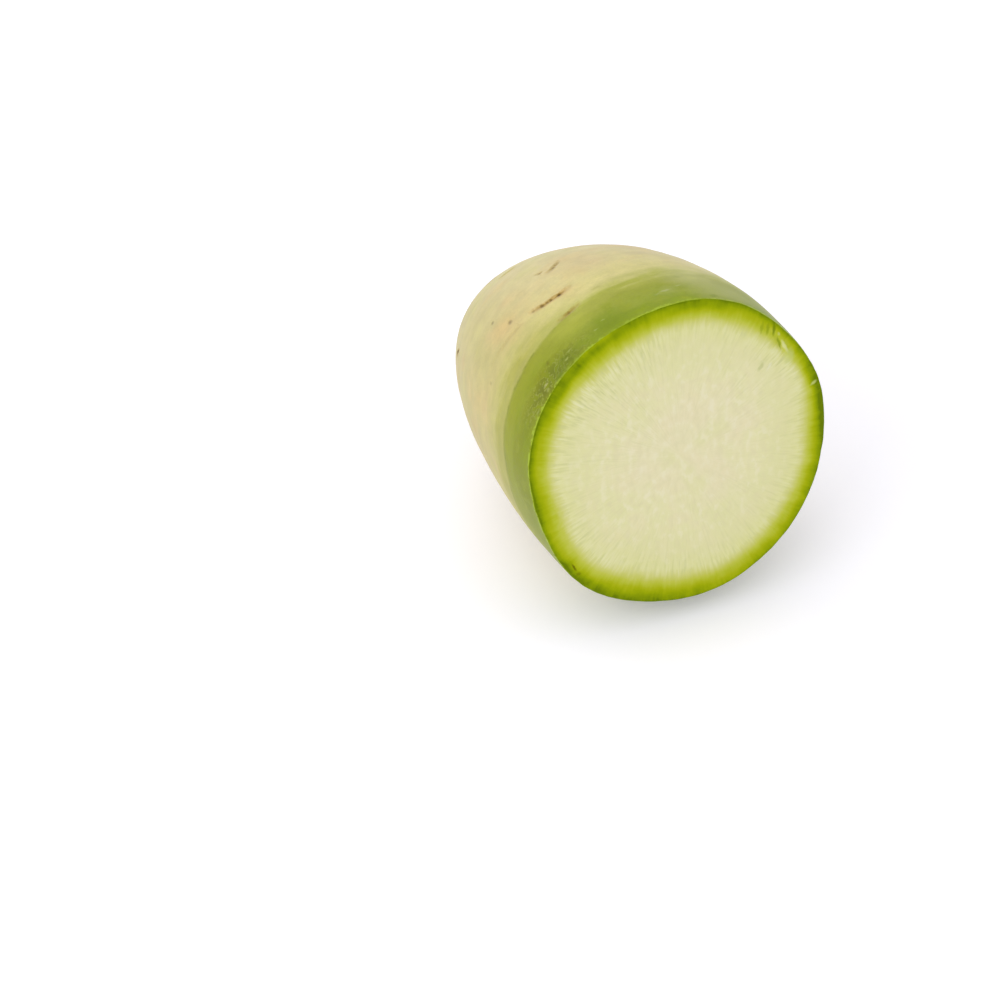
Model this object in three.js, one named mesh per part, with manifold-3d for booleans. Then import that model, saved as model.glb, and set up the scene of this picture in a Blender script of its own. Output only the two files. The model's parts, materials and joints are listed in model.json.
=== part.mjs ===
// The root half of a large green-shouldered radish, cut straight across and lying on its side.
// Millimetres, +Z up. The root end points along -X. The cut face looks along +X and a little up.
// The whole half is one solid: skin, flesh and the stub of the taproot grew as one piece.

import * as THREE from 'three'
import { mergeVertices } from 'three/addons/utils/BufferGeometryUtils.js'
import Module from 'manifold-3d'

const degrees = THREE.MathUtils.degToRad

// Driving dimensions
const CUT_RADIUS = 50 // mean radius of the cut face
const LENGTH = 114 // from the cut face to the root end, without the taproot
const WIDEST_AT = 16.5 // the fattest section, behind the cut face
const TAPER = 1.05 // 1 makes the root end half an ellipse, and more makes it more pointed
const OVAL = 0.032 // the sections are this much longer one way and shorter the other
const OVAL_ANGLE = degrees(96) // the long way, turned from +Y towards +Z
const LEAN_SIDE = -17 // the root end lies this far off the cut's centre line, along Y
const LEAN_UP = -3.2 // and this far off it at right angles to Y
const TAPROOT_LENGTH = 13 // the stub beyond the root end
const TAPROOT_NECK = 10 // its radius where it grows out of the root end
const NECK_AT = 108 // which is this far behind the cut face
const TAPROOT_END = 1.7 // its radius where it was broken off
const TAPROOT_FADE = 9 // how fast the neck thins
const FILLET = 2.5 // how softly body and taproot run into each other: lower is softer
const TILT = degrees(11.3) // the cut face is raised by this much as the half lies
const RESTING_DEPTH = 0.7 // how deep the flat resting spot goes into the belly

// Gentle unevenness round the root: height of the swells at the cut, how many, and the start angle.
// It dies away towards the root end.
const SWELLS = [
  { height: 0.24, lobes: 3, start: degrees(-5) },
  { height: 0.24, lobes: 4, start: degrees(-150) },
  { height: 0.38, lobes: 5, start: degrees(43) },
  { height: 0.21, lobes: 7, start: degrees(-60) },
]
const SWELL_FADE = 60 // distance over which the swells shrink to about a third

// Fineness of the surface
const BODY_RINGS = 26
const TAPROOT_RINGS = 6
const SEGMENTS = 52
const FACE_RINGS = 3

// Radius of the round, unleaning root at a distance behind the cut face.
const tip = LENGTH - WIDEST_AT
const swell = distance => 1 - ((distance - WIDEST_AT) / tip) ** 2
function bodyRadius(distance) {
  return CUT_RADIUS * Math.max(swell(distance) / swell(0), 0) ** (TAPER / 2)
}

// The taproot is thickest inside the root end and thins towards its broken end.
function taprootRadius(distance) {
  const beyond = (distance - NECK_AT) / TAPROOT_FADE
  return THREE.MathUtils.lerp(TAPROOT_END, TAPROOT_NECK, Math.exp(-beyond * beyond))
}

// Body and taproot run into each other in a soft fillet.
function rootRadius(distance) {
  return (bodyRadius(distance) ** FILLET + taprootRadius(distance) ** FILLET) ** (1 / FILLET)
}

// The profile, from the middle of the cut face to the middle of the taproot's end.
// Its x is the radius and its y the distance behind the cut face.
function profile() {
  const points = []
  for (let i = 0; i < FACE_RINGS; i++) points.push(new THREE.Vector2((CUT_RADIUS * i) / FACE_RINGS, 0))
  const first = Math.asin(-WIDEST_AT / tip)
  for (let i = 0; i <= BODY_RINGS; i++) {
    const turn = THREE.MathUtils.lerp(first, Math.PI / 2, i / BODY_RINGS)
    const distance = WIDEST_AT + tip * Math.sin(turn)
    points.push(new THREE.Vector2(rootRadius(distance), distance))
  }
  for (let i = 1; i <= TAPROOT_RINGS; i++) {
    const distance = LENGTH + (TAPROOT_LENGTH * i) / TAPROOT_RINGS
    points.push(new THREE.Vector2(rootRadius(distance), distance))
  }
  points.push(new THREE.Vector2(0, LENGTH + TAPROOT_LENGTH))
  return points
}

// Turns a point of the round lathe shape, whose axis is Y, into the radish's own oval, leaning,
// slightly uneven shape, whose cut face is the plane x = 0.
function grow(point) {
  const distance = point.y
  const radius = Math.hypot(point.x, point.z)
  const angle = Math.atan2(point.z, point.x)
  const oval = 1 + OVAL * Math.cos(2 * (angle - OVAL_ANGLE))
  let uneven = 0
  for (const s of SWELLS) uneven += s.height * Math.sin(s.lobes * angle + s.start)
  const grown = radius * (oval + (uneven * Math.exp(-distance / SWELL_FADE)) / CUT_RADIUS)
  const lean = (distance / LENGTH) ** 2
  return point.set(-distance, grown * Math.cos(angle) + LEAN_SIDE * lean, grown * Math.sin(angle) + LEAN_UP * lean)
}

// A closed mesh: shared vertices merged, no normals, no collapsed triangles at the poles.
function closedMesh(geometry) {
  geometry.deleteAttribute('normal')
  geometry.deleteAttribute('uv')
  const merged = mergeVertices(geometry, 1e-4)
  const corners = []
  for (let i = 0; i < merged.index.count; i += 3) {
    const [a, b, c] = [0, 1, 2].map(k => merged.index.getX(i + k))
    if (a !== b && b !== c && c !== a) corners.push(a, b, c)
  }
  merged.setIndex(corners)
  return merged
}

const wasm = await Module()
wasm.setup()

function solid(geometry) {
  const mesh = closedMesh(geometry)
  return new wasm.Manifold(
    new wasm.Mesh({
      numProp: 3,
      vertProperties: new Float32Array(mesh.attributes.position.array),
      triVerts: new Uint32Array(mesh.index.array),
    }),
  )
}

function geometryOf(manifold) {
  const mesh = manifold.getMesh()
  const geometry = new THREE.BufferGeometry()
  geometry.setAttribute('position', new THREE.BufferAttribute(mesh.vertProperties, 3))
  geometry.setIndex(new THREE.BufferAttribute(mesh.triVerts, 1))
  geometry.computeVertexNormals()
  return geometry
}

// The whole half as it lies, before its resting spot is flattened.
function lyingHalf() {
  const geometry = new THREE.LatheGeometry(profile(), SEGMENTS)
  const positions = geometry.attributes.position
  const point = new THREE.Vector3()
  for (let i = 0; i < positions.count; i++) {
    grow(point.fromBufferAttribute(positions, i))
    positions.setXYZ(i, point.x, point.y, point.z)
  }
  return geometry.rotateY(-TILT)
}

// Everything below the resting height is taken off, which leaves the small flat spot.
function flattened(geometry) {
  geometry.computeBoundingBox()
  const restingHeight = geometry.boundingBox.min.z + RESTING_DEPTH
  const size = 3 * LENGTH
  const below = new THREE.BoxGeometry(size, size, size).translate(0, 0, restingHeight - size / 2)
  return solid(geometry).subtract(solid(below))
}

const group = new THREE.Group()
const half = new THREE.Mesh(
  geometryOf(flattened(lyingHalf())),
  new THREE.MeshStandardMaterial({ color: '#b7bf78', roughness: 0.45, metalness: 0 }),
)
half.name = 'radish_half'

// The origin is the middle of the half's outline, at the height it rests on.
const box = new THREE.Box3().setFromObject(half)
half.position.set(-(box.min.x + box.max.x) / 2, -(box.min.y + box.max.y) / 2, -box.min.z)
group.add(half)

export default group
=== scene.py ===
"""The root half of a large green-shouldered radish, cut straight across and lying on its side.

The shape is worked out in the root's own frame: x is the distance behind the cut face, and y and z
lie in the cut plane, with z upwards before the half is tipped. Lengths there are in millimetres and
angles go round the root from y towards z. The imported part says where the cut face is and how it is
tipped, and that places the finished mesh.
"""

import json
import math

import bpy
import numpy as np
from mathutils import Matrix, Vector, noise


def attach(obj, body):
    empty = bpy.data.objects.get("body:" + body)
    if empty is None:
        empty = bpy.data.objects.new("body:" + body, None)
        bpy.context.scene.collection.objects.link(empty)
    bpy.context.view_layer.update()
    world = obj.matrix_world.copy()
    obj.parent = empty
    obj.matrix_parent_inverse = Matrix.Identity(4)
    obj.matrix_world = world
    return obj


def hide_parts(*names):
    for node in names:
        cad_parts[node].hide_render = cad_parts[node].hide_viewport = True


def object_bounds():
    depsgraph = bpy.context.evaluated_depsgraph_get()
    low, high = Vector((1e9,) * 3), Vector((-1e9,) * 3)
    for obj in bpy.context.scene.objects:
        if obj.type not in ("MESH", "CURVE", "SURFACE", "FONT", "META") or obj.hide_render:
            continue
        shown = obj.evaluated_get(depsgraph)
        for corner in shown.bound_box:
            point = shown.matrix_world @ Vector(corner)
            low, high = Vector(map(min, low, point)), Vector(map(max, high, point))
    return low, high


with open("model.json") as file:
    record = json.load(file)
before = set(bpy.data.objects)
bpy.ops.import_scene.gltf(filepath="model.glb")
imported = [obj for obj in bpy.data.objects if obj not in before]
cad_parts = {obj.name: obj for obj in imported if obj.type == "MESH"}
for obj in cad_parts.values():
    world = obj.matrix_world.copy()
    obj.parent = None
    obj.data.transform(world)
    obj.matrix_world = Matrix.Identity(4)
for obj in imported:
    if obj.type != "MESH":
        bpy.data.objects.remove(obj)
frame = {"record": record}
cad_low, cad_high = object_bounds()

MM = 0.001
FULL_TURN = 2 * math.pi
CUT_FACE = next(mount for mount in frame["record"]["mounts"] if mount["name"] == "cut_face")
CUT_CENTRE = Vector(CUT_FACE["pos_m"])
CUT_NORMAL = Vector(CUT_FACE["axis"]).normalized()

# ------------------------------------------------------------ the root's shape, as in the CAD part
CUT_RADIUS = 50.0
LENGTH = 114.0  # from the cut to the root end, without the taproot
WIDEST_AT = 16.5  # how far behind the cut the root is thickest
TAPER = 1.05
OVAL = 0.032
OVAL_ANGLE = math.radians(96)
LEAN_SIDE = -17.0
LEAN_UP = -3.2
TAPROOT_LENGTH = 13.0
TAPROOT_NECK = 10.0  # its radius where it grows out of the root end
NECK_AT = 108.0  # and how far behind the cut that is
TAPROOT_END = 1.7  # its radius where it broke off
TAPROOT_FADE = 9.0
FILLET = 2.5
SWELL_FADE = 60.0
SWELLS = (  # height at the cut, lobes round the root, start angle
    (0.24, 3, math.radians(-5)),
    (0.24, 4, math.radians(-150)),
    (0.38, 5, math.radians(43)),
    (0.21, 7, math.radians(-60)),
)

# ------------------------------------------------------------ marks left by growing and the knife
SOIL_LINE = 20.3  # how far behind the cut the root went into the soil

# Side roots grew in two rows, on opposite sides, and each left a slit across the root:
# distance behind the cut, angle, length, slope, bend, depth, how brown it healed
SCARS = (
    (33.6, 119.8, 15.0, 0.20, 0.035, 0.18, 1.00),
    (20.9, 119.2, 9.2, -0.10, 0.03, 0.20, 0.82),
    (53.3, 108.0, 7.0, -0.75, 0.08, 0.20, 0.85),
    (55.1, 113.5, 3.0, 0.60, 0.00, 0.15, 0.65),
    (37.4, 139.5, 22.0, 0.175, 0.00, 0.05, 0.26),
    (79.3, 116.0, 7.0, 0.05, 0.05, 0.35, 0.40),
    (89.6, 121.0, 6.0, -0.10, 0.05, 0.30, 0.45),
    (79.6, 164.3, 4.2, 0.60, 0.00, 0.45, 1.00),
    (20.6, 296.0, 7.0, 0.05, 0.05, 0.35, 0.50),
    (34.8, 301.0, 10.0, -0.12, 0.03, 0.50, 0.70),
    (54.0, 295.0, 8.0, 0.10, 0.06, 0.35, 0.55),
    (78.8, 300.0, 9.0, -0.06, 0.04, 0.45, 0.60),
    (89.4, 293.0, 5.0, 0.10, 0.00, 0.30, 0.45),
)
FAR_FROM_SCARS = 20.0  # how far along and across it counts where no scar is near
# Rootlets broke off and left small dark pits: distance behind the cut, angle, size, darkness
PITS = (
    (33.2, 116.7, 0.65, 1.00),
    (33.8, 120.0, 0.60, 0.75),
    (34.2, 121.5, 0.60, 0.50),
    (34.6, 123.5, 0.72, 0.66),
    (36.0, 126.9, 0.60, 0.35),
    (20.9, 119.3, 0.50, 0.45),
    (43.5, 135.1, 0.85, 0.55),
    (54.2, 139.6, 0.70, 0.50),
    (53.0, 108.5, 0.45, 0.55),
    (55.0, 113.6, 0.45, 0.35),
    (36.2, 157.3, 0.60, 0.25),
    (9.8, 136.1, 0.70, 0.30),
    (79.6, 164.3, 1.15, 1.00),
    (82.0, 165.2, 0.80, 0.80),
    (35.2, 299.0, 0.60, 0.90),
    (34.4, 303.5, 0.55, 0.70),
    (54.2, 296.0, 0.60, 0.80),
    (78.7, 301.5, 0.60, 0.80),
    (20.7, 294.5, 0.50, 0.60),
    (47.0, 252.0, 0.60, 0.40),
    (61.0, 213.0, 0.60, 0.45),
    (66.0, 30.0, 0.60, 0.40),
    (43.0, 5.0, 0.55, 0.35),
)
# Patches where the peel cracked finely and healed: distance, angle, half its length along the
# root, half its width round it, how clear
HEALED_PATCHES = (
    (4.0, 139.5, 5.2, 15.0, 1.00),
    (3.0, 228.0, 4.0, 17.0, 0.45),
    (8.0, 350.0, 4.0, 11.0, 0.50),
)
# Blotches and scratches on the peel: distance, angle, half its width round the root, half its
# length along the root, strength, colour
BLOTCHES = (
    (4.6, 112.5, 8.5, 6.0, 0.60, "728608"),
    # The blotch at 71° is painted sheen: paler, greyer peel where it turns away near the top.
    (6.5, 71.0, 10.0, 8.0, 0.55, "b2b46e"),
    (16.5, 78.0, 8.0, 8.0, 0.38, "c9c78f"),
    (3.4, 132.0, 8.5, 4.6, 0.60, "6f7d1a"),
    (7.9, 88.5, 3.2, 3.0, 0.25, "a3a968"),
    (8.1, 89.8, 2.0, 0.55, 0.55, "bcc084"),
    (9.6, 84.6, 1.2, 0.40, 0.40, "b4b97c"),
    (7.4, 92.6, 0.9, 0.40, 0.40, "b3b87a"),
    (24.6, 106.6, 1.8, 0.80, 0.45, "a9a552"),
    (41.0, 82.0, 5.0, 2.6, 0.35, "c3b184"),
    (12.5, 214.0, 2.6, 1.0, 0.45, "a9b05c"),
    (8.0, 262.0, 1.8, 0.6, 0.45, "a5ad5c"),
    (14.5, 331.0, 2.6, 0.9, 0.40, "aab05e"),
    (1.9, 75.5, 1.9, 0.9, 0.55, "7b8c22"),
    (2.9, 81.2, 1.5, 0.8, 0.40, "84942c"),
    (2.2, 91.5, 3.2, 1.3, 0.35, "84952a"),
    (7.4, 93.6, 1.1, 1.4, 0.45, "839434"),
    (15.8, 81.8, 1.4, 1.0, 0.45, "92994a"),
    (10.2, 136.1, 1.5, 0.9, 0.45, "76801e"),
    (5.2, 130.8, 2.2, 0.8, 0.60, "6c7916"),
    (1.4, 135.7, 2.4, 0.8, 0.60, "687c0e"),
    (5.6, 143.8, 2.0, 0.9, 0.60, "717620"),
    (3.2, 147.0, 1.6, 1.4, 0.50, "747c1c"),
    (14.5, 122.0, 6.5, 4.5, 0.55, "acb040"),
    (5.0, 116.8, 0.9, 0.35, 0.60, "adb968"),
    (7.2, 113.0, 0.8, 0.30, 0.45, "a9b564"),
    (4.1, 130.6, 0.9, 0.50, 0.65, "adb662"),
    (4.4, 141.9, 1.1, 0.60, 0.70, "b0af6c"),
    (2.2, 142.3, 0.8, 0.70, 0.45, "a0a75c"),
    (1.7, 150.6, 1.1, 0.60, 0.50, "a2aa5e"),
    (6.0, 128.0, 0.9, 0.40, 0.45, "a3ad5c"),
    (45.5, 138.5, 5.0, 6.5, 0.45, "d0b579"),
    (44.0, 99.0, 6.0, 9.0, 0.45, "d2bc8e"),
    (34.2, 121.2, 3.6, 0.9, 0.55, "b89a54"),
    (47.0, 153.0, 6.0, 14.0, 0.45, "bcb374"),
)
# Where side roots of the same rows pass just under the peel, the root keeps its green longer,
# the soil line is sharp, and the peel is also painted darker as shade: between these angles
LUSH_SIDES = ((127, 205), (292, 342))

# The knife tore the flesh beside the peel in one place, and a small flap stands up there;
# its pale colour is a painted highlight.
TORN_FROM = np.array([33.5, 33.1])
TORN_TO = np.array([35.8, 27.1])
# Small tears and bruises on the cut: from y, z to y, z, half its width, strength, colour
TEARS = (
    (36.6, 27.4, 36.2, 23.6, 1.80, 0.45, "cfd68c"),
    # The next two rows are painted highlight on the torn flap.
    (33.9, 31.6, 35.9, 27.2, 0.55, 0.85, "dadd98"),
    (32.8, 34.3, 33.2, 33.5, 0.45, 0.60, "ccd27c"),
    (31.6, 38.2, 31.3, 33.8, 0.55, 0.75, "6c8000"),
    (32.5, 33.0, 33.9, 28.6, 0.40, 0.75, "8a9a1c"),
    (29.8, 38.4, 29.2, 34.6, 0.60, 0.60, "8a9a08"),
    (27.9, 38.9, 27.2, 35.4, 0.60, 0.55, "93a118"),
    (45.4, 15.3, 43.7, 14.1, 0.55, 0.80, "c6cf78"),
    (-36.6, -28.9, -35.3, -31.8, 0.38, 0.80, "5c5800"),
    (-35.2, -33.2, -34.2, -33.0, 0.80, 0.50, "6c6d00"),
    (27.8, 25.2, 26.3, 23.0, 0.75, 0.60, "c0c384"),
    (30.6, 24.8, 29.0, 22.6, 0.50, 0.60, "ebe8ca"),
)
# Which sides of the cut have the clearest rays: angle, how much clearer, how wide
RAYED_SIDES = ((38, 0.45, 0.30), (136, 0.70, 0.50), (215, 0.15, 0.40))
# Where the green flesh is thicker or, below zero, thinner: angle, how much, how wide
THICK_SIDES = (
    (122, 0.26, 0.30),
    (255, 0.30, 0.48),
    (26, -0.26, 0.28),
    (50, -0.17, 0.25),
    (345, -0.08, 0.30),
)
# Where the green under the peel is darker or, below zero, lighter: angle, how much, how wide,
# and how many mm inside the rim
DEEP_GREEN_SIDES = (
    (2, 1.00, 0.33, 1.1),
    (14, 1.50, 0.26, 1.9),
    (22, 0.70, 0.10, 2.8),
    (44, -1.60, 0.22, 2.0),
    (62, -0.60, 0.22, 2.0),
    (80, 1.00, 0.16, 2.2),
    (92, -0.90, 0.10, 1.6),
    (120, -2.20, 0.16, 0.3),
    (122, 0.90, 0.33, 2.1),
    (138, 1.30, 0.24, 3.0),
    (163, -1.20, 0.20, 2.6),
    (180, 0.70, 0.20, 0.4),
    (202, -1.40, 0.22, 2.0),
    (205, -0.60, 0.25, 4.2),
    (220, 1.20, 0.14, 1.0),
    (231, 0.90, 0.12, 2.4),
    (254, 0.60, 0.30, 1.7),
    (283, -1.00, 0.25, 1.0),
    (290, -0.90, 0.20, 3.0),
    (312, -1.10, 0.55, 0.9),
    (318, -0.80, 0.20, 3.2),
)

# ------------------------------------------------------------ fineness of the mesh, in mm
SEGMENTS = 400  # points round each ring
COARSE_STEP = 0.8
FINE_STEP = 0.32  # between rings where there are scars, and at the cut and the soil line
FINE_BANDS = ((0.0, 3.2), (18.9, 21.8), (32.2, 36.8), (52.0, 56.0), (77.6, 80.9), (88.4, 90.6))
EDGE_ROUNDING = 0.28
INSIDE_CAD = 0.16  # the skin lies this much deeper, so that no bump leaves the CAD part's box


def noise_at(points, size, seed):
    """Smooth noise from about -1 to 1 at points in mm, with bumps about size mm apart."""
    shift = Vector((seed * 17.3, seed * 5.7, seed * 11.1))
    flat = np.asarray(points).reshape(-1, 3) / size
    values = np.array([noise.noise(Vector(point) + shift) for point in flat])
    return values.reshape(np.shape(points)[:-1])


def smooth(value, low, high):
    """0 below low, 1 above high, and an S-shaped rise between."""
    share = np.clip((value - low) / (high - low), 0, 1)
    return share * share * (3 - 2 * share)


def bell(value, width):
    """1 at zero, fading to both sides; width is where it has fallen to about a third."""
    return np.exp(-((value / width) ** 2))


def turned_from(angle, middle):
    """The angle from middle to angle, the short way round."""
    return (angle - middle + math.pi) % FULL_TURN - math.pi


# ------------------------------------------------------------ the smooth root
def root_radius(distance):
    """Radius of the round root, in mm, at a distance behind the cut."""
    tip = LENGTH - WIDEST_AT
    here = 1 - ((distance - WIDEST_AT) / tip) ** 2
    at_cut = 1 - (WIDEST_AT / tip) ** 2
    body = CUT_RADIUS * np.maximum(here / at_cut, 0) ** (TAPER / 2)
    beyond = (distance - NECK_AT) / TAPROOT_FADE
    taproot = TAPROOT_END + (TAPROOT_NECK - TAPROOT_END) * np.exp(-beyond * beyond)
    return (body**FILLET + taproot**FILLET) ** (1 / FILLET)


def grown_share(distance, angle):
    """How much further out than a round root the real one lies, as a factor."""
    uneven = sum(height * np.sin(lobes * angle + start) for height, lobes, start in SWELLS)
    fading = uneven * np.exp(-np.maximum(distance, 0) / SWELL_FADE)
    return 1 + OVAL * np.cos(2 * (angle - OVAL_ANGLE)) + fading / CUT_RADIUS


def in_root_frame(distance, angle, radius):
    """Points of the root: x behind the cut, y and z across it, with the root's lean."""
    lean = (distance / LENGTH) ** 2
    across = radius * np.cos(angle) + LEAN_SIDE * lean
    up = radius * np.sin(angle) + LEAN_UP * lean
    return np.stack([distance, across, up], axis=-1)


def in_row_frame(points):
    """From the root's own frame in mm to the row frame in metres, with the resting spot flat."""
    tip = Matrix.Rotation(-math.asin(CUT_NORMAL.z), 3, "Y")
    turned = (points * np.array([-MM, MM, MM])) @ np.array(tip).T + np.array(CUT_CENTRE)
    turned[..., 2] = np.maximum(turned[..., 2], 0)
    return turned


# ------------------------------------------------------------ relief of the skin and the cut
def along_and_across(distance, angle, scar):
    """How far along a scar a point lies, 1 at its ends, and how far across it, in mm."""
    at, middle, length, slope, bend = scar[:5]
    along = turned_from(angle, math.radians(middle)) * root_radius(at)
    across = distance - at - slope * along - bend * along * along
    return along / (length / 2), across


def rim_points(angle):
    """Points round a ring as wide as the cut, for noise that only changes round the root."""
    return np.stack([0 * angle, np.cos(angle) * CUT_RADIUS, np.sin(angle) * CUT_RADIUS], axis=-1)


def skin_relief(distance, angle, straight):
    """Height of the skin's own unevenness, outwards, in mm."""
    in_soil = smooth(distance, SOIL_LINE - 4, SOIL_LINE + 25)
    at_rim = 1 - smooth(distance, 0.4, 2.5)
    height = 0.4 * noise_at(straight, 34, 1) * smooth(distance, 3, 25)
    height += 0.13 * noise_at(straight, 9, 2)
    ringed = straight * np.array([1.0, 0.13, 0.13])
    height += (0.02 + 0.03 * in_soil) * noise_at(ringed, 3.4, 3)
    height += (0.008 + 0.012 * in_soil) * noise_at(ringed, 1.7, 4)
    rim = rim_points(angle)
    height += (0.10 * noise_at(rim, 4.5, 10) + 0.07 * noise_at(rim, 2.1, 13)) * at_rim
    height -= 0.07 * bell(distance - SOIL_LINE - soil_wander(angle), 0.7) * lush_share(angle)
    for scar in SCARS:
        along, across = along_and_across(distance, angle, scar)
        inside = np.clip(1 - along * along, 0, 1) ** 0.5
        height += scar[5] * inside * (0.35 * bell(np.abs(across) - 1.4, 0.7) - bell(across, 0.65))
    return height - INSIDE_CAD


def soil_wander(angle):
    """How far the soil line strays from a straight ring, in mm."""
    tilt = -0.9 * np.cos(angle - math.radians(140))
    dip = -1.8 * bell(turned_from(angle, math.radians(72)), 0.22)
    rim = rim_points(angle)
    return tilt + dip + 0.6 * noise_at(rim, 13, 8) + 0.3 * noise_at(rim, 4.5, 9)


def lush_share(angle):
    """1 on the sides that stay green longer, 0 on the others."""
    share = 0.0
    for start, end in LUSH_SIDES:
        into = smooth(turned_from(angle, math.radians(start)), -0.25, 0.32)
        share = share + into * (1 - smooth(turned_from(angle, math.radians(end)), -0.25, 0.3))
    return np.clip(share, 0, 1)


def cut_relief(angle, radius, straight):
    """Height of the cut face's unevenness, out of the flesh, in mm."""
    share = radius / CUT_RADIUS
    height = 0.13 * noise_at(straight, 21, 5) - 0.2 * (1 - smooth(share, 0.0, 0.6))
    rays = np.stack([share * 4, np.cos(angle) * 20, np.sin(angle) * 20], axis=-1)
    rayed = smooth(share, 0.4, 0.75) * (1 - smooth(share, 0.9, 0.98))
    height += 0.04 * noise_at(rays, 1.0, 7) * rayed
    along, across = on_torn_flap(straight)
    height -= 0.5 * bell(across + 1.2, 0.8) * bell(along, 1.0)
    height += 0.5 * bell(across, 0.6) * bell(along, 0.9)
    return height


def on_torn_flap(straight):
    """How far along the torn flap a point of the cut lies, 1 at its ends, and across it, in mm."""
    middle = (TORN_FROM + TORN_TO) / 2
    reach = TORN_TO - TORN_FROM
    half = np.hypot(*reach) / 2
    way = reach / (2 * half)
    away = straight[..., 1:] - middle
    return away @ way / half, away @ np.array([-way[1], way[0]])


# ------------------------------------------------------------ mesh
def skin_steps():
    """Distances behind the cut of the rings of points on the skin, closer where there are marks."""
    steps = []
    distance = 0.5
    while distance < LENGTH - 22:
        steps.append(distance)
        fine = any(low <= distance < high for low, high in FINE_BANDS)
        distance += FINE_STEP if fine else COARSE_STEP
    widest = LENGTH - WIDEST_AT
    first = math.asin((steps[-1] + COARSE_STEP - WIDEST_AT) / widest)
    for turn in np.linspace(first, math.pi / 2, 40):
        steps.append(WIDEST_AT + widest * math.sin(turn))
    for share in np.linspace(0.06, 1, 16):
        steps.append(LENGTH + TAPROOT_LENGTH * share)
    return steps


def rings_of_the_half():
    """Rings from the middle of the cut to the broken end of the taproot, one row each: distance
    behind the cut, share of the radius there, and mm inside that. The peel's edge is rounded."""
    rings = []
    core = (0.04, 0.11, 0.18, 0.25, 0.32, 0.39, 0.46, 0.53, 0.59, 0.65)
    core += (0.7, 0.75, 0.79, 0.82, 0.845)
    for share in core + tuple(np.linspace(0.865, 0.985, 14)):
        rings.append((0.0, share, 0.0))
    for turn in (0.0, 0.35, 0.7, 1.0):
        bent = turn * math.pi / 2
        behind = EDGE_ROUNDING * (1 - math.cos(bent))
        rings.append((behind, 1.0, EDGE_ROUNDING * (1 - math.sin(bent))))
    rings += [(distance, 1.0, 0.0) for distance in skin_steps()]
    rings += [(LENGTH + TAPROOT_LENGTH, share, 0.0) for share in (0.7, 0.3)]
    return np.array(rings)


def radish_points():
    """Rings of points of the half in the root's frame, and where each lies on the smooth root."""
    rings = rings_of_the_half()
    turns = np.arange(SEGMENTS) * FULL_TURN / SEGMENTS
    distance, angle = np.meshgrid(rings[:, 0], turns, indexing="ij")
    share = np.repeat(rings[:, 1:2], SEGMENTS, axis=1)
    inside = np.repeat(rings[:, 2:3], SEGMENTS, axis=1)
    full = root_radius(distance) * grown_share(distance, angle)
    radius = full * share - inside
    straight = np.stack([distance, radius * np.cos(angle), radius * np.sin(angle)], axis=-1)

    skin = skin_relief(distance, angle, straight) * share**16
    taproot = smooth(distance, LENGTH - 3, LENGTH)
    skin = skin * (1 - taproot) + taproot * np.clip(skin, -0.2, 0.2) * share
    face = (distance <= 0) * (1 - smooth(share, 0.985, 1.0))
    cut = cut_relief(angle, radius, straight) * face
    return in_root_frame(distance - cut, angle, radius + skin), straight, angle, rings


def spread_round(angle, sides):
    """The sum of bumps round the root, each given by its angle, height and width in radians."""
    total = 0.0
    for at, height, width in sides:
        total = total + height * bell(turned_from(angle, math.radians(at)), width)
    return total


def deep_green(depth, angle):
    """How many mm nearer the peel the flesh looks, by its colour, than it is."""
    sides = ((spread_round(angle, (side[:3],)), side[3]) for side in DEEP_GREEN_SIDES)
    return sum(height * bell(depth - middle, 1.2) for height, middle in sides)


def marks_on(points, angle):
    """What the growing and the knife left at each point, for the finishes to read."""
    distance = points[..., 0]
    rim = root_radius(0.0) * grown_share(0.0, angle)
    depth = rim - np.hypot(points[..., 1], points[..., 2])
    thick = 0.96 + 0.08 * noise_at(rim_points(angle), 21, 12) + spread_round(angle, THICK_SIDES)

    # For the nearest scar: how far along it, how far across it, and how brown.
    scar = np.zeros(points.shape)
    scar[..., :2] = FAR_FROM_SCARS
    for mark in SCARS:
        along, across = along_and_across(distance, angle, mark)
        near = (1 - smooth(np.abs(along), 1.3, 1.8)) * (1 - smooth(np.abs(across), 2.5, 4.5))
        chosen = near * mark[6] > scar[..., 2]
        scar[chosen, 0] = along[chosen]
        scar[chosen, 1] = across[chosen]
        scar[chosen, 2] = near[chosen] * mark[6]

    netted = np.zeros(angle.shape)
    for at, middle, long, wide, clear in HEALED_PATCHES:
        turned = turned_from(angle, math.radians(middle)) * root_radius(at)
        inside = bell(np.hypot((distance - at) / long, turned / wide), 0.9)
        netted = np.maximum(netted, clear * inside)
    return {
        "root_mm": points,
        "inside_rim_mm": depth / thick - deep_green(depth, angle),
        "below_soil_line_mm": distance - SOIL_LINE - soil_wander(angle),
        "scar": scar,
        "netted": netted,
        "lush": lush_share(angle),
        "rayed": 0.45 + spread_round(angle, RAYED_SIDES),
    }


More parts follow.
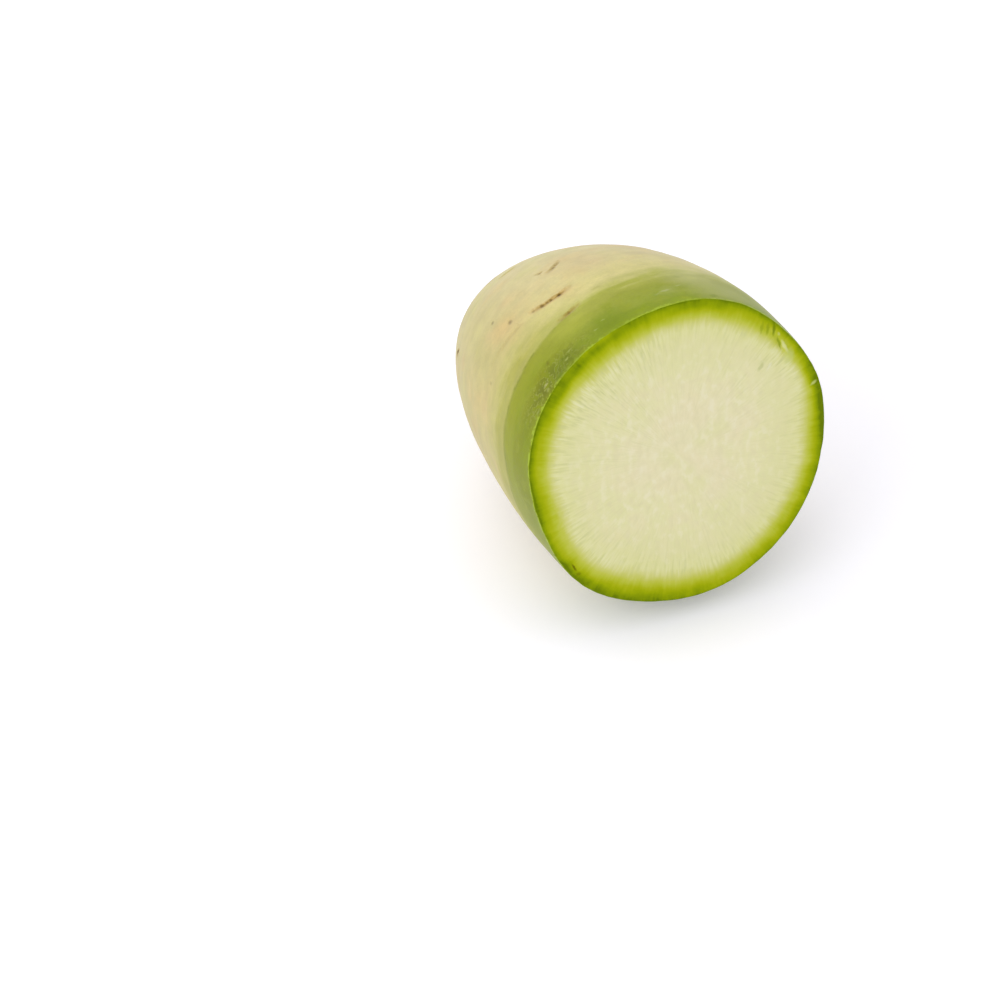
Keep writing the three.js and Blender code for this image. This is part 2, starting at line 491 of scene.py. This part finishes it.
def build_radish():
    """The half as one closed mesh. Its first finish is for the peel, its second for the cut."""
    points, straight, angle, rings = radish_points()
    count, around = angle.shape
    grown = in_row_frame(points).reshape(-1, 3)
    cut_height = float(cut_relief(0.0, 0.0, np.zeros((1, 3)))[0])
    ends = [-cut_height, LENGTH + TAPROOT_LENGTH]
    caps = [in_row_frame(in_root_frame(np.array(end), 0.0, 0.0)) for end in ends]
    vertices = np.vstack([grown, caps])

    turn = np.arange(around)
    following = (turn + 1) % around
    faces = []
    for ring in range(count - 1):
        inner, outer = ring * around, (ring + 1) * around
        quads = np.stack([inner + turn, outer + turn, outer + following, inner + following], axis=1)
        faces += quads.tolist()
    last = (count - 1) * around
    faces += [(count * around, int(a), int(b)) for a, b in zip(turn, following)]
    faces += [(count * around + 1, int(last + b), int(last + a)) for a, b in zip(turn, following)]

    mesh = bpy.data.meshes.new("radish_root_half")
    mesh.from_pydata(vertices.tolist(), [], faces)
    mesh.shade_smooth()
    on_cut = np.zeros(len(faces), np.int32)
    rings_on_cut = int(np.argmax(rings[:, 0] > 0))
    on_cut[: rings_on_cut * around] = 1
    on_cut[-2 * around : -around] = 1  # the fan in the middle of the cut
    mesh.polygons.foreach_set("material_index", on_cut)

    middles = np.array([[0.0, 0.0, 0.0], [LENGTH + TAPROOT_LENGTH, 0.0, 0.0]])
    where = np.vstack([straight.reshape(-1, 3), middles])
    angles = np.append(angle.ravel(), [0.0, 0.0])
    for name, values in marks_on(where, angles).items():
        kind, field = ("FLOAT_VECTOR", "vector") if values.ndim > 1 else ("FLOAT", "value")
        mark = mesh.attributes.new(name, kind, "POINT")
        mark.data.foreach_set(field, values.astype(np.float32).ravel())
    piece = bpy.data.objects.new("radish_root_half", mesh)
    bpy.context.scene.collection.objects.link(piece)
    return piece


# ------------------------------------------------------------ materials
# The mix node has several sockets of one name, so its sockets for colours go by number.
SHARE, UNDER, OVER, MIXED = 0, 6, 7, 2


def colour(code):
    """A colour written as sRGB hex, as linear red, green, blue and alpha."""
    linear = []
    for start in (0, 2, 4):
        level = int(code[start : start + 2], 16) / 255
        linear.append(level / 12.92 if level <= 0.04045 else ((level + 0.055) / 1.055) ** 2.4)
    return (*linear, 1.0)


def add(tree, kind, inputs=None, take=0, stops=(), **settings):
    """Adds a node with its settings and links, and returns its output called or numbered take.

    Each input is a plain value or another node's output. A ramp's stops are (place, hex colour).
    """
    node = tree.nodes.new("ShaderNode" + kind)
    for name, value in settings.items():
        setattr(node, name, value)
    for number, (place, code) in enumerate(stops):
        elements = node.color_ramp.elements
        stop = elements[number] if number < 2 else elements.new(place)
        stop.position = place
        stop.color = colour(code)
    for socket, value in (inputs or {}).items():
        if isinstance(value, bpy.types.NodeSocket):
            tree.links.new(value, node.inputs[socket])
        else:
            node.inputs[socket].default_value = value
    return node.outputs[take] if node.outputs else node


def empty_material(name):
    material = bpy.data.materials.new(name)
    material.use_nodes = True
    material.node_tree.nodes.clear()
    return material, material.node_tree


def spread(stops, low, high):
    """Stops at places from low to high, moved to places from 0 to 1."""
    return tuple(((place - low) / (high - low), code) for place, code in stops)


def on_skin(distance, turned):
    """Where a mark on the skin lies, in mm, and the turn that lays its axes along and round
    the root."""
    angle = math.radians(turned)
    out = float(root_radius(distance) * grown_share(distance, angle))
    middle = (distance, out * math.cos(angle), out * math.sin(angle))
    return middle, (angle, 0.0, 0.0)


def waxy_peel():
    """Radish peel: a thin, tight, slightly waxy skin, green where the root stood out of the soil
    and cream below. It gives a soft satin sheen, fine rings round the root, and browned scars."""
    material, tree = empty_material("waxy_radish_peel")
    place = add(tree, "Attribute", take="Vector", attribute_name="root_mm")
    behind = add(tree, "SeparateXYZ", {0: place}, take="X")
    below_soil = add(tree, "Attribute", take="Fac", attribute_name="below_soil_line_mm")
    lush = add(tree, "Attribute", take="Fac", attribute_name="lush")
    ringed = add(tree, "VectorMath", {0: place, 1: (1.0, 0.16, 0.16)}, operation="MULTIPLY")
    drawn_round = add(tree, "VectorMath", {0: place, 1: (1.0, 0.3, 0.3)}, operation="MULTIPLY")

    # Patches a few centimetres wide, blotches of some millimetres, streaks and flecks drawn out
    # round the root, the fine rings, grain, and crackle where the peel healed. Marks placed on
    # strayed points get uneven outlines.
    patches = add(tree, "TexNoise", {"Vector": place, "Scale": 1 / 15, "Detail": 2.0})
    blotches = add(tree, "TexNoise", {"Vector": place, "Scale": 1 / 5, "Detail": 4.0})
    streaks = add(tree, "TexNoise", {"Vector": drawn_round, "Scale": 1 / 3.2, "Detail": 3.0})
    flecks = add(tree, "TexNoise", {"Vector": drawn_round, "Scale": 1 / 0.9, "Detail": 3.0})
    rings = add(tree, "TexNoise", {"Vector": ringed, "Scale": 1 / 1.6, "Detail": 3.0})
    grain = add(tree, "TexNoise", {"Vector": place, "Scale": 1 / 0.8, "Detail": 3.0})
    stray = add(tree, "TexNoise", {"Vector": place, "Scale": 1 / 1.6, "Detail": 2.0}, take="Color")
    stray = add(tree, "VectorMath", {0: stray, 1: (0.5, 0.5, 0.5)}, operation="SUBTRACT")
    moved = {0: stray, 1: (1.6, 1.6, 1.6), 2: place}
    strayed = add(tree, "VectorMath", moved, operation="MULTIPLY_ADD")
    crackle = add(tree, "TexNoise", {"Vector": strayed, "Scale": 1 / 2.0, "Detail": 1.0})

    # Green to cream across the soil line, which is sharp on the lush sides and soft elsewhere.
    swing = add(tree, "MapRange", {0: streaks, 1: 0.3, 2: 0.7, 3: -2.6, 4: 2.6})
    away = add(tree, "Math", {0: below_soil}, operation="ABSOLUTE")
    close = add(tree, "MapRange", {0: away, 1: 1.0, 2: 4.5, 3: 0.92, 4: 0.0})
    held = add(tree, "Math", {0: close, 1: lush}, operation="MULTIPLY")
    free = add(tree, "Math", {0: 1.0, 1: held}, operation="SUBTRACT")
    wander = add(tree, "Math", {0: swing, 1: free, 2: below_soil}, operation="MULTIPLY_ADD")
    depth = add(tree, "MapRange", {0: wander, 1: -24.0, 2: 60.0, 3: 0.0, 4: 1.0})
    # The open side's green is partly painted sheen: paler and greyer than the peel is.
    open_side_with_painted_sheen = (
        (-20, "90a21c"),
        (-17, "899828"),
        (-13, "959f37"),
        (-7, "999f38"),
        (-4, "a1a442"),
        (-1, "a7aa47"),
        (2, "bbb966"),
        (5, "c8c17b"),
        (10, "d5ca89"),
        (30, "d4c792"),
    )
    # The lush side is partly painted shade: darker than the peel is on that side.
    lush_side_with_painted_shade = (
        (-20, "869306"),
        (-15, "818b0a"),
        (-10, "868d0e"),
        (-7, "8e9620"),
        (-1.4, "939822"),
        (-0.4, "8e9226"),
        (0.7, "aeab5a"),
        (2.2, "aca957"),
        (5, "aeaa51"),
        (10, "beb76f"),
        (17, "c7ba7c"),
        (40, "c7bb82"),
    )
    pale = add(tree, "ValToRGB", {0: depth}, stops=spread(open_side_with_painted_sheen, -24, 60))
    deep = add(tree, "ValToRGB", {0: depth}, stops=spread(lush_side_with_painted_shade, -24, 60))
    layers = {SHARE: lush, UNDER: pale, OVER: deep}
    surface = add(tree, "Mix", layers, take=MIXED, data_type="RGBA")

    # The cream is tinted peach in places, and both colours are clouded.
    in_green = add(tree, "MapRange", {0: below_soil, 1: -3.0, 2: -8.0})
    in_cream = add(tree, "MapRange", {0: below_soil, 1: 3.0, 2: 14.0})
    peach = add(tree, "MapRange", {0: patches, 1: 0.5, 2: 0.68, 3: 0.0, 4: 0.5})
    peach = add(tree, "Math", {0: peach, 1: in_cream}, operation="MULTIPLY")
    sallow = add(tree, "MapRange", {0: patches, 1: 0.46, 2: 0.3, 3: 0.0, 4: 0.5})
    sallow = add(tree, "Math", {0: sallow, 1: in_cream}, operation="MULTIPLY")
    cloud = add(tree, "MapRange", {0: blotches, 1: 0.52, 2: 0.7, 3: 0.0, 4: 0.5})
    cloud = add(tree, "Math", {0: cloud, 1: in_green}, operation="MULTIPLY")
    sunny = add(tree, "MapRange", {0: blotches, 1: 0.46, 2: 0.3, 3: 0.0, 4: 0.5})
    sunny = add(tree, "Math", {0: sunny, 1: in_green}, operation="MULTIPLY")
    for share, tone in (
        (peach, "d4b981"),
        (sallow, "c9c37d"),
        (cloud, "7e8c0c"),
        (sunny, "a2a92e"),
    ):
        layers = {SHARE: share, UNDER: surface, OVER: colour(tone)}
        surface = add(tree, "Mix", layers, take=MIXED, data_type="RGBA")

    # Dark dashes of soil left in the line, on the lush sides.
    at_line = add(tree, "MapRange", {0: away, 1: 0.3, 2: 0.9, 3: 1.0, 4: 0.0})
    dashes = add(tree, "MapRange", {0: flecks, 1: 0.52, 2: 0.62, 3: 0.0, 4: 0.6})
    dashes = add(tree, "Math", {0: dashes, 1: at_line}, operation="MULTIPLY")
    dashes = add(tree, "Math", {0: dashes, 1: lush}, operation="MULTIPLY")

    # Fine healed cracks: short, bent, pale seams on darker peel.
    in_net = add(tree, "Attribute", take="Fac", attribute_name="netted")
    dark_net = add(tree, "MapRange", {0: crackle, 1: 0.58, 2: 0.40, 3: 0.2, 4: 0.95})
    dark_net = add(tree, "Math", {0: dark_net, 1: in_net}, operation="MULTIPLY")
    seam = add(tree, "Math", {0: crackle, 1: 0.5}, operation="SUBTRACT")
    seam = add(tree, "Math", {0: seam}, operation="ABSOLUTE")
    seam = add(tree, "MapRange", {0: seam, 1: 0.01, 2: 0.07, 3: 1.0, 4: 0.0})
    whole = add(tree, "MapRange", {0: grain, 1: 0.44, 2: 0.54, 3: 0.0, 4: 0.8})
    seam = add(tree, "Math", {0: seam, 1: whole}, operation="MULTIPLY")
    net = add(tree, "Math", {0: seam, 1: in_net}, operation="MULTIPLY")

    # Scars: a pale brown, slightly sunken slit that thins out and breaks up towards the ends.
    scar = add(tree, "Attribute", take="Vector", attribute_name="scar")
    along = add(tree, "SeparateXYZ", {0: scar}, take="X")
    across = add(tree, "SeparateXYZ", {0: scar}, take="Y")
    brown = add(tree, "SeparateXYZ", {0: scar}, take="Z")
    ragged = add(tree, "MapRange", {0: grain, 1: 0.3, 2: 0.7, 3: -0.4, 4: 0.4})
    aside = add(tree, "Math", {0: across, 1: ragged}, operation="ADD")
    aside = add(tree, "Math", {0: aside}, operation="ABSOLUTE")
    taper = add(tree, "Math", {0: along, 1: along}, operation="MULTIPLY")
    taper = add(tree, "MapRange", {0: taper, 1: 0.1, 2: 1.1, 3: 1.0, 4: 0.0})
    taper = add(tree, "Math", {0: taper, 1: brown}, operation="MULTIPLY")
    worn = add(tree, "MapRange", {0: flecks, 1: 0.38, 2: 0.55, 3: 0.45, 4: 1.0})
    crack = add(tree, "MapRange", {0: aside, 1: 0.5, 2: 1.7, 3: 0.85, 4: 0.0})
    crack = add(tree, "Math", {0: crack, 1: taper}, operation="MULTIPLY")
    crack = add(tree, "Math", {0: crack, 1: worn}, operation="MULTIPLY")
    tint = add(tree, "MapRange", {0: aside, 1: 0.7, 2: 2.2, 3: 0.6, 4: 0.0})
    tint = add(tree, "Math", {0: tint, 1: taper}, operation="MULTIPLY")
    brownest = add(tree, "MapRange", {0: brown, 1: 0.85, 2: 1.0})
    tint = add(tree, "Math", {0: tint, 1: brownest}, operation="MULTIPLY")

    # The skin is browner round the taproot, and brown where that broke off.
    tail = add(tree, "MapRange", {0: behind, 1: LENGTH - 16, 2: LENGTH + 6, 3: 0.0, 4: 0.55})
    ringlets = add(tree, "MapRange", {0: rings, 1: 0.56, 2: 0.4, 3: 0.0, 4: 0.5})
    ringlets = add(tree, "Math", {0: ringlets, 1: tail}, operation="MULTIPLY")
    end = LENGTH + TAPROOT_LENGTH
    broken_end = add(tree, "MapRange", {0: behind, 1: end - 1.6, 2: end - 0.1, 3: 0.0, 4: 0.85})

    # The cut edge of the peel is a thin bright line, broken where the knife slipped.
    inwards = add(tree, "MapRange", {0: crackle, 1: 0.35, 2: 0.65, 3: 0.6, 4: -0.4})
    nicked = add(tree, "MapRange", {0: grain, 1: 0.35, 2: 0.65, 3: 0.3, 4: -0.3})
    lip = add(tree, "Math", {0: behind, 1: inwards}, operation="ADD")
    lip = add(tree, "Math", {0: lip, 1: nicked}, operation="ADD")
    edge = add(tree, "MapRange", {0: lip, 1: 0.3, 2: 0.9, 3: 0.9, 4: 0.0})

    for share, tone in (
        (dashes, "7c8428"),
        (dark_net, "6c7018"),
        (net, "a7a95f"),
        (tint, "dcb878"),
        (crack, "987a30"),
        (edge, "9fb332"),
        (tail, "c8ac72"),
        (ringlets, "9c8148"),
        (broken_end, "8a6c3e"),
    ):
        layers = {SHARE: share, UNDER: surface, OVER: colour(tone)}
        surface = add(tree, "Mix", layers, take=MIXED, data_type="RGBA")

    # Blotches, and pits that are a little longer along the root than round it.
    for at, turned, wide, long, strength, tone in BLOTCHES:
        middle, turn = on_skin(at, turned)
        size = (long, long + wide, wide)
        spot = {"Vector": strayed, "Location": middle, "Rotation": turn, "Scale": size}
        spot = add(tree, "Mapping", spot, vector_type="TEXTURE")
        spot = add(tree, "VectorMath", {0: spot}, take="Value", operation="LENGTH")
        spot = add(tree, "MapRange", {0: spot, 1: 0.35, 2: 1.25, 3: strength, 4: 0.0})
        layers = {SHARE: spot, UNDER: surface, OVER: colour(tone)}
        surface = add(tree, "Mix", layers, take=MIXED, data_type="RGBA")
    pits = 0.0
    squeeze = 0.65
    shortened = add(tree, "VectorMath", {0: place, 1: (squeeze, 1.0, 1.0)}, operation="MULTIPLY")
    for at, turned, size, darkness in PITS:
        (_, across, up), _ = on_skin(at, turned)
        middle = (at * squeeze, across, up)
        pit = add(tree, "VectorMath", {0: shortened, 1: middle}, take="Value", operation="DISTANCE")
        pit = add(tree, "MapRange", {0: pit, 1: size * 0.3, 2: size * 1.3, 3: darkness, 4: 0.0})
        pits = add(tree, "Math", {0: pits, 1: pit}, operation="MAXIMUM")
    layers = {SHARE: pits, UNDER: surface, OVER: colour("5c4400")}
    surface = add(tree, "Mix", layers, take=MIXED, data_type="RGBA")

    # Fine rings, grain and blotches only shade the colour a little.
    fine = add(tree, "Math", {0: rings, 1: 0.5, 2: grain}, operation="MULTIPLY_ADD")
    shade = add(tree, "MapRange", {0: fine, 1: 0.5, 2: 1.0, 3: 0.95, 4: 1.05})
    surface = add(tree, "VectorMath", {0: surface, "Scale": shade}, operation="SCALE")
    shade = add(tree, "MapRange", {0: blotches, 1: 0.35, 2: 0.65, 3: 0.96, 4: 1.04})
    surface = add(tree, "VectorMath", {0: surface, "Scale": shade}, operation="SCALE")

    # Small relief in mm, beyond what the mesh has: the grain, cracks, pits and raised seams.
    relief = add(tree, "Math", {0: fine, 1: 0.025}, operation="MULTIPLY")
    for mark, height in ((crack, -0.15), (pits, -0.25), (net, 0.07)):
        relief = add(tree, "Math", {0: mark, 1: height, 2: relief}, operation="MULTIPLY_ADD")
    bump = add(tree, "Bump", {"Height": relief, "Distance": MM, "Strength": 1.0})
    sheen_noise = add(tree, "MapRange", {0: grain, 1: 0.3, 2: 0.7, 3: 0.42, 4: 0.52})
    roughness = add(tree, "Math", {0: net, 1: 0.25, 2: sheen_noise}, operation="MULTIPLY_ADD")
    shader = add(
        tree,
        "BsdfPrincipled",
        {
            "Base Color": surface,
            "Roughness": roughness,
            "IOR": 1.42,
            "Specular IOR Level": 0.14,
            "Sheen Weight": 0.10,
            "Sheen Roughness": 0.35,
            "Subsurface Weight": 0.12,
            "Subsurface Radius": (1.0, 0.9, 0.4),
            "Subsurface Scale": 1.2 * MM,
            "Normal": bump,
        },
    )
    add(tree, "OutputMaterial", {"Surface": shader})
    return material


def wet_flesh():
    """Freshly cut radish flesh: dense, watery and slightly see-through, so light spreads in it.
    Pale rays run out from a mottled core to a thin layer of green flesh under the peel."""
    material, tree = empty_material("wet_radish_flesh")
    place = add(tree, "Attribute", take="Vector", attribute_name="root_mm")
    depth = add(tree, "Attribute", take="Fac", attribute_name="inside_rim_mm")
    rayed = add(tree, "Attribute", take="Fac", attribute_name="rayed")
    face = add(tree, "VectorMath", {0: place, 1: (0.0, 1.0, 1.0)}, operation="MULTIPLY")
    out = add(tree, "VectorMath", {0: face}, take="Value", operation="LENGTH")
    way = add(tree, "VectorMath", {0: face}, operation="NORMALIZE")

    # Rays of water vessels, a little over a millimetre apart and 6 mm long near the rim: noise
    # that changes fast round the face and slowly along a radius.
    slow = add(tree, "Math", {0: out, 1: 0.16}, operation="MULTIPLY")
    spokes = add(tree, "VectorMath", {0: way, "Scale": 42.0}, operation="SCALE")
    lifted = add(tree, "CombineXYZ", {"X": slow})
    spokes = add(tree, "VectorMath", {0: spokes, 1: lifted}, operation="ADD")
    rays = add(tree, "TexNoise", {"Vector": spokes, "Scale": 1 / 0.8, "Detail": 1.0})
    broad_rays = add(tree, "TexNoise", {"Vector": spokes, "Scale": 1 / 4.5, "Detail": 1.0})
    upright = add(tree, "VectorMath", {0: face, 1: (0.0, 1.0, 0.75)}, operation="MULTIPLY")
    flecks = add(tree, "TexNoise", {"Vector": upright, "Scale": 1 / 2.4, "Detail": 2.0})
    clouds = add(tree, "TexNoise", {"Vector": face, "Scale": 1 / 3.4, "Detail": 1.0})
    patches = add(tree, "TexNoise", {"Vector": face, "Scale": 1 / 9, "Detail": 2.0})

    # From the peel inwards: dark green, bright green, yellow-green, and cream.
    uneven = add(tree, "MapRange", {0: rays, 1: 0.3, 2: 0.7, 3: -0.3, 4: 0.3})
    cloudy = add(tree, "MapRange", {0: clouds, 1: 0.35, 2: 0.65, 3: -0.3, 4: 0.3})
    uneven = add(tree, "Math", {0: uneven, 1: cloudy}, operation="ADD")
    thicker = add(tree, "MapRange", {0: broad_rays, 1: 0.35, 2: 0.65, 3: -0.4, 4: 0.4})
    uneven = add(tree, "Math", {0: uneven, 1: thicker}, operation="ADD")
    gradual = add(tree, "MapRange", {0: depth, 1: 3.5, 2: 7.0, 3: 1.0, 4: 0.6})
    shift = add(tree, "Math", {0: uneven, 1: gradual, 2: depth}, operation="MULTIPLY_ADD")
    share = add(tree, "MapRange", {0: shift, 1: 0.0, 2: 50.0})
    inwards = (
        (0.0, "6c8000"),
        (0.7, "839600"),
        (1.6, "90a100"),
        (2.2, "9aa900"),
        (3.0, "a5b104"),
        (4.0, "b1b918"),
        (5.0, "bbc338"),
        (6.0, "c5c951"),
        (7.0, "cdcf6b"),
        (8.0, "d5d584"),
        (10.0, "e0dfa0"),
        (15, "e3e0ab"),
        (24, "e7e3b3"),
        (36, "eae3bc"),
    )
    surface = add(tree, "ValToRGB", {0: share}, stops=spread(inwards, 0, 50))

    # Rays are clearest near the rim, and flecks and a rosy tint lie further in.
    in_flesh = add(tree, "MapRange", {0: depth, 1: 6.0, 2: 9.5})
    inner_end = add(tree, "MapRange", {0: depth, 1: 17.0, 2: 9.0, 3: 0.34, 4: 1.1})
    ray_zone = add(tree, "Math", {0: in_flesh, 1: inner_end}, operation="MULTIPLY")
    ray_zone = add(tree, "Math", {0: ray_zone, 1: rayed}, operation="MULTIPLY")
    strength = add(tree, "MapRange", {0: broad_rays, 1: 0.35, 2: 0.65, 3: 0.6, 4: 1.1})
    ray_zone = add(tree, "Math", {0: ray_zone, 1: strength}, operation="MULTIPLY")
    light_ray = add(tree, "MapRange", {0: rays, 1: 0.5, 2: 0.68, 3: 0.0, 4: 0.6})
    light_ray = add(tree, "Math", {0: light_ray, 1: ray_zone}, operation="MULTIPLY")
    dark_ray = add(tree, "MapRange", {0: rays, 1: 0.48, 2: 0.31, 3: 0.0, 4: 0.85})
    dark_ray = add(tree, "Math", {0: dark_ray, 1: ray_zone}, operation="MULTIPLY")
    core = add(tree, "MapRange", {0: out, 1: 42.0, 2: 20.0, 3: 0.0, 4: 1.0})
    mottled = add(tree, "MapRange", {0: out, 1: 44.0, 2: 25.0, 3: 0.0, 4: 1.0})
    fleck = add(tree, "MapRange", {0: flecks, 1: 0.52, 2: 0.68, 3: 0.0, 4: 0.5})
    fleck = add(tree, "Math", {0: fleck, 1: mottled}, operation="MULTIPLY")
    dim = add(tree, "MapRange", {0: flecks, 1: 0.48, 2: 0.32, 3: 0.0, 4: 0.45})
    dim = add(tree, "Math", {0: dim, 1: mottled}, operation="MULTIPLY")
    green_patch = add(tree, "MapRange", {0: patches, 1: 0.5, 2: 0.66, 3: 0.0, 4: 0.5})
    green_patch = add(tree, "Math", {0: green_patch, 1: in_flesh}, operation="MULTIPLY")
    rosy_patch = add(tree, "MapRange", {0: patches, 1: 0.5, 2: 0.34, 3: 0.0, 4: 0.5})
    rosy_patch = add(tree, "Math", {0: rosy_patch, 1: core}, operation="MULTIPLY")
    for share, tone in (
        (green_patch, "e2e0a9"),
        (rosy_patch, "ebe0bc"),
        (light_ray, "edebc6"),
        (dark_ray, "cbcd92"),
        (fleck, "f1ebcf"),
        (dim, "e1dab1"),
    ):
        layers = {SHARE: share, UNDER: surface, OVER: colour(tone)}
        surface = add(tree, "Mix", layers, take=MIXED, data_type="RGBA")

    # Tears and bruises.
    stray = add(tree, "TexNoise", {"Vector": face, "Scale": 1 / 1.4, "Detail": 1.0}, take="Color")
    stray = add(tree, "VectorMath", {0: stray, 1: (0.5, 0.5, 0.5)}, operation="SUBTRACT")
    moved = {0: stray, 1: (0.0, 0.7, 0.7), 2: face}
    strayed = add(tree, "VectorMath", moved, operation="MULTIPLY_ADD")
    for from_y, from_z, to_y, to_z, wide, strength, tone in TEARS:
        reach = math.hypot(to_y - from_y, to_z - from_z) / 2
        middle = (0.0, (from_y + to_y) / 2, (from_z + to_z) / 2)
        turn = (math.atan2(to_z - from_z, to_y - from_y), 0.0, 0.0)
        size = (1.0, reach + wide / 2, wide)
        tear = {"Vector": strayed, "Location": middle, "Rotation": turn, "Scale": size}
        tear = add(tree, "Mapping", tear, vector_type="TEXTURE")
        tear = add(tree, "VectorMath", {0: tear}, take="Value", operation="LENGTH")
        tear = add(tree, "MapRange", {0: tear, 1: 0.5, 2: 1.15, 3: strength, 4: 0.0})
        layers = {SHARE: tear, UNDER: surface, OVER: colour(tone)}
        surface = add(tree, "Mix", layers, take=MIXED, data_type="RGBA")

    relief = add(tree, "Math", {0: rays, 1: ray_zone}, operation="MULTIPLY")
    relief = add(tree, "Math", {0: flecks, 1: 0.5, 2: relief}, operation="MULTIPLY_ADD")
    bump = add(tree, "Bump", {"Height": relief, "Distance": 0.05 * MM, "Strength": 1.0})
    roughness = add(tree, "MapRange", {0: flecks, 1: 0.3, 2: 0.7, 3: 0.5, 4: 0.38})
    shader = add(
        tree,
        "BsdfPrincipled",
        {
            "Base Color": surface,
            "Roughness": roughness,
            "IOR": 1.36,
            "Specular IOR Level": 0.07,
            "Subsurface Weight": 0.25,
            "Subsurface Radius": (1.0, 0.95, 0.5),
            "Subsurface Scale": 1.0 * MM,
            "Normal": bump,
        },
    )
    add(tree, "OutputMaterial", {"Surface": shader})
    return material


# ------------------------------------------------------------ studio
VIEW_AZIMUTH = math.radians(70.54)
VIEW_HEIGHT = math.radians(41)
VIEW_DISTANCE = 0.8
LENS_MM = 86.46
AIM_FROM_CUT = Vector((-0.06162, -0.03601, 0))
TENT_LIGHT = 0.8
TABLE_HALF_WIDTH = 3.0
FLOOR_WHITE = 0.85
# The glow is least round this point under the cut, which paints a deeper shadow there.
PAINTED_SHADOW_MIDDLE = (0.03, 0.0, 0.0)
GLOW_IN_PAINTED_SHADOW = 0.20
GLOW_AROUND = 0.33
NEAR_RISE = (0.025, 0.075)  # how far from under the cut the glow starts and stops rising
GLOW_FAR = 0.12
FAR_RISE = (0.7, 1.6)  # the same for what is added far away
# The glow is a little blue, which paints the shadow by the radish a neutral grey.
GLOW_COLOUR = "ebe7fd"


def looking_along(thing, direction):
    """Turns a camera or lamp to look in a direction, and puts it in the scene."""
    thing.rotation_mode = "QUATERNION"
    thing.rotation_quaternion = direction.to_track_quat("-Z", "Y")
    bpy.context.scene.collection.objects.link(thing)


def studio_camera():
    below_cut = Vector((CUT_CENTRE.x, CUT_CENTRE.y, 0))
    level = math.cos(VIEW_HEIGHT)
    east = math.sin(VIEW_AZIMUTH) * level
    north = -math.cos(VIEW_AZIMUTH) * level
    back = Vector((east, north, math.sin(VIEW_HEIGHT)))
    data = bpy.data.cameras.new("studio_camera")
    data.lens = LENS_MM
    data.clip_start = 0.01
    camera = bpy.data.objects.new("studio_camera", data)
    camera.location = below_cut + AIM_FROM_CUT + back * VIEW_DISTANCE
    looking_along(camera, -back)
    bpy.context.scene.camera = camera


def soft_box(name, target, towards, distance, width, power):
    """A square lamp, in metres and watts, on the side of the target that towards points to."""
    data = bpy.data.lights.new(name, "AREA")
    data.size = width
    data.energy = power
    lamp = bpy.data.objects.new(name, data)
    lamp.location = target + towards.normalized() * distance
    looking_along(lamp, -towards)


def pale_table():
    """A pale matte table. A glow that shows but lights nothing keeps it white round the shadow. It
    is least under the leaning cut, which paints a deeper shadow there, more around it, and most far
    away, out of the lamps' reach."""
    half = TABLE_HALF_WIDTH
    corners = [(-half, -half, 0), (half, -half, 0), (half, half, 0), (-half, half, 0)]
    mesh = bpy.data.meshes.new("pale_table")
    mesh.from_pydata(corners, [], [(0, 1, 2, 3)])
    table = bpy.data.objects.new("pale_table", mesh)
    bpy.context.scene.collection.objects.link(table)
    material, tree = empty_material("matte_white_paint")
    camera_ray = add(tree, "LightPath", take="Is Camera Ray")
    glossy_ray = add(tree, "LightPath", take="Is Glossy Ray")
    clear_ray = add(tree, "LightPath", take="Is Transmission Ray")
    seen = add(tree, "Math", {0: camera_ray, 1: glossy_ray}, operation="ADD")
    seen = add(tree, "Math", {0: seen, 1: clear_ray}, operation="ADD")
    spot = add(tree, "NewGeometry", take="Position")
    spot = add(tree, "VectorMath", {0: spot, 1: PAINTED_SHADOW_MIDDLE}, take="Value", operation="DISTANCE")
    near = {0: spot, 1: NEAR_RISE[0], 2: NEAR_RISE[1], 3: GLOW_IN_PAINTED_SHADOW, 4: GLOW_AROUND}
    near = add(tree, "MapRange", near, interpolation_type="SMOOTHSTEP")
    far = {0: spot, 1: FAR_RISE[0], 2: FAR_RISE[1], 3: 0.0, 4: GLOW_FAR}
    far = add(tree, "MapRange", far)
    level = add(tree, "Math", {0: near, 1: far}, operation="ADD")
    glow = add(tree, "Math", {0: seen, 1: level}, operation="MULTIPLY", use_clamp=True)
    matte = add(tree, "BsdfDiffuse", {"Color": (FLOOR_WHITE, FLOOR_WHITE, FLOOR_WHITE, 1.0)})
    lit = add(tree, "Emission", {"Color": colour(GLOW_COLOUR), "Strength": glow})
    both = add(tree, "AddShader", {0: matte, 1: lit})
    add(tree, "OutputMaterial", {"Surface": both})
    mesh.materials.append(material)


def light_tent():
    """A white tent all round. It lights the radish a little less brightly than it looks itself."""
    world = bpy.data.worlds.new("light_tent")
    world.use_nodes = True
    tree = world.node_tree
    tree.nodes.clear()
    camera_ray = add(tree, "LightPath", take="Is Camera Ray")
    level = add(tree, "MapRange", {0: camera_ray, 3: TENT_LIGHT, 4: 1.0})
    tent = add(tree, "Background", {"Color": colour("ffffff"), "Strength": level})
    add(tree, "OutputWorld", {"Surface": tent})
    bpy.context.scene.world = world


def studio():
    studio_camera()
    pale_table()
    light_tent()
    middle = (cad_low + cad_high) / 2
    right = Vector((math.cos(VIEW_AZIMUTH), math.sin(VIEW_AZIMUTH), 0))
    away = Vector((-math.sin(VIEW_AZIMUTH), math.cos(VIEW_AZIMUTH), 0))
    up = Vector((0, 0, 1))
    upper_left = up + away * 0.3 - right * 0.8
    front_left = up * 0.9 - away - right * 0.9
    soft_box("upper_left_soft_box", middle, upper_left, distance=1.5, width=1.4, power=3.4)
    soft_box("front_soft_box", middle, front_left, distance=1.6, width=1.0, power=6.4)
    bpy.context.scene.view_settings.view_transform = "Standard"


studio()
radish = build_radish()
radish.data.materials.append(waxy_peel())
radish.data.materials.append(wet_flesh())
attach(radish, "root")
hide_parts("radish_half")
